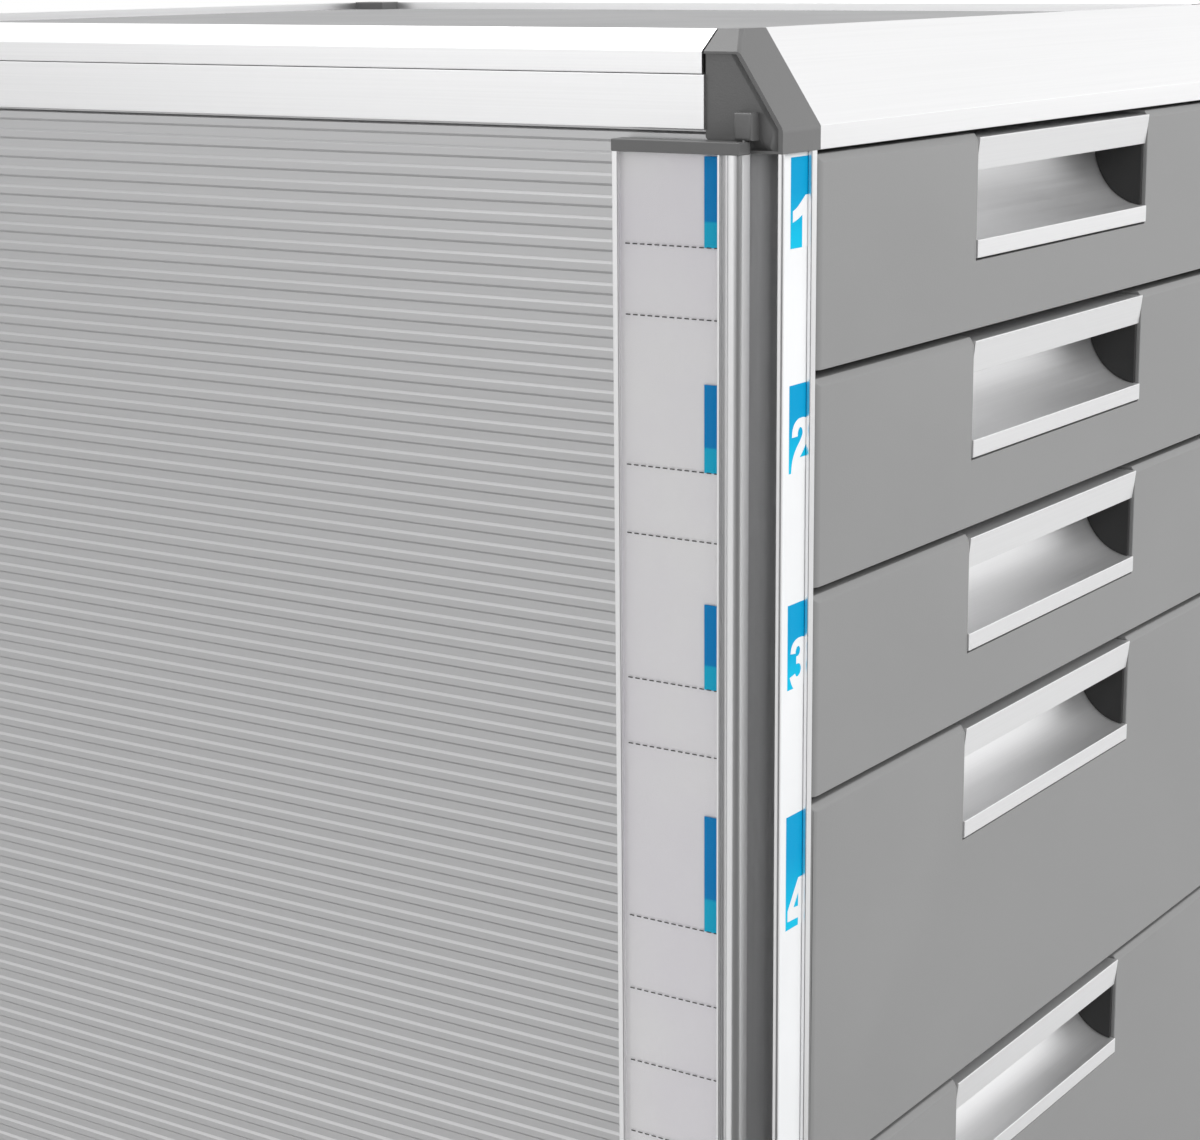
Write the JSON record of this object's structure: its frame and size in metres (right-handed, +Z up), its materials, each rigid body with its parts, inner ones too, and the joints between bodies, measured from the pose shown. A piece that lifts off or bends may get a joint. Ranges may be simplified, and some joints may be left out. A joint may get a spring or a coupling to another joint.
{
  "type": "desktop drawer organizer",
  "caption": "Upright desktop cabinet of drawers with recessed pulls in an aluminium frame, with a hinged index card holder on its left side.",
  "frame": {"origin": "centre of the object's footprint, on the surface that the feet stand on", "axes": "+X to the right seen from the front, +Y from the drawer fronts to the back, +Z up"},
  "size_m": [0.2978, 0.3453, 0.3848],
  "materials": {
    "drawer_front": "fine satin moulded grey",
    "pull": "satin anodised silver",
    "pull_end": "dark grey moulded",
    "tray": "satin moulded grey",
    "post": "satin anodised silver",
    "corner_cap": "satin moulded dark grey",
    "rail": "satin anodised silver",
    "grooved_panel": "satin silver grey, grooved",
    "flat_panel": "satin grey",
    "liner": "satin moulded grey",
    "holder": "satin anodised silver",
    "holder_cap": "satin moulded dark grey",
    "card": "smooth white card with blue tabs",
    "window": "clear plastic sheet",
    "strip": "white strip with blue number fields",
    "steel": "plain steel",
    "foot": "dark moulded rubber"
  },
  "bodies": {
    "carcass": {"back_panel": "flat_panel", "back_post_left": "post", "back_post_right": "post", "base_cap_back_left": "corner_cap", "base_cap_back_right": "corner_cap", "base_cap_front_left": "corner_cap", "base_cap_front_right": "corner_cap", "base_panel": "flat_panel", "base_rail_back": "rail", "base_rail_front": "rail", "base_rail_left": "rail", "base_rail_right": "rail", "feet": "foot", "front_post_left": "post", "front_post_right": "post", "index_pivots": "steel", "number_strip": "strip", "plain_strip": "strip", "runner_liner_left": "liner", "runner_liner_right": "liner", "side_band_left": "rail", "side_band_right": "rail", "side_panel_left": "grooved_panel", "side_panel_right": "grooved_panel", "top_cap_back_left": "corner_cap", "top_cap_back_right": "corner_cap", "top_cap_front_left": "corner_cap", "top_cap_front_right": "corner_cap", "top_panel": "flat_panel", "top_rail_back": "rail", "top_rail_front": "rail", "top_rail_left": "rail", "top_rail_right": "rail"},
    "drawer_1": {"drawer_1_front": "drawer_front", "drawer_1_pull": "pull", "drawer_1_pull_ends": "pull_end", "drawer_1_tray": "tray"},
    "drawer_2": {"drawer_2_front": "drawer_front", "drawer_2_pull": "pull", "drawer_2_pull_ends": "pull_end", "drawer_2_tray": "tray"},
    "drawer_3": {"drawer_3_front": "drawer_front", "drawer_3_pull": "pull", "drawer_3_pull_ends": "pull_end", "drawer_3_tray": "tray"},
    "drawer_4": {"drawer_4_front": "drawer_front", "drawer_4_pull": "pull", "drawer_4_pull_ends": "pull_end", "drawer_4_tray": "tray"},
    "drawer_5": {"drawer_5_front": "drawer_front", "drawer_5_pull": "pull", "drawer_5_pull_ends": "pull_end", "drawer_5_tray": "tray"},
    "index_holder": {"card_holder": "holder", "card_window": "window", "holder_cap_bottom": "holder_cap", "holder_cap_top": "holder_cap", "index_card": "card"}
  },
  "joints": [
    {"name": "drawer_1_slide", "type": "slide", "parent": "carcass", "child": "drawer_1", "axis": [0, -1, 0], "range_m": [0, 0.23]},
    {"name": "drawer_2_slide", "type": "slide", "parent": "carcass", "child": "drawer_2", "axis": [0, -1, 0], "range_m": [0, 0.23]},
    {"name": "drawer_3_slide", "type": "slide", "parent": "carcass", "child": "drawer_3", "axis": [0, -1, 0], "range_m": [0, 0.23]},
    {"name": "drawer_4_slide", "type": "slide", "parent": "carcass", "child": "drawer_4", "axis": [0, -1, 0], "range_m": [0, 0.23]},
    {"name": "drawer_5_slide", "type": "slide", "parent": "carcass", "child": "drawer_5", "axis": [0, -1, 0], "range_m": [0, 0.23]},
    {"name": "index_holder_hinge", "type": "hinge", "parent": "carcass", "child": "index_holder", "pos_m": [-0.14455, -0.1639, 0.359], "axis": [0, 0, 1], "range_deg": [0, 90]}
  ]
}
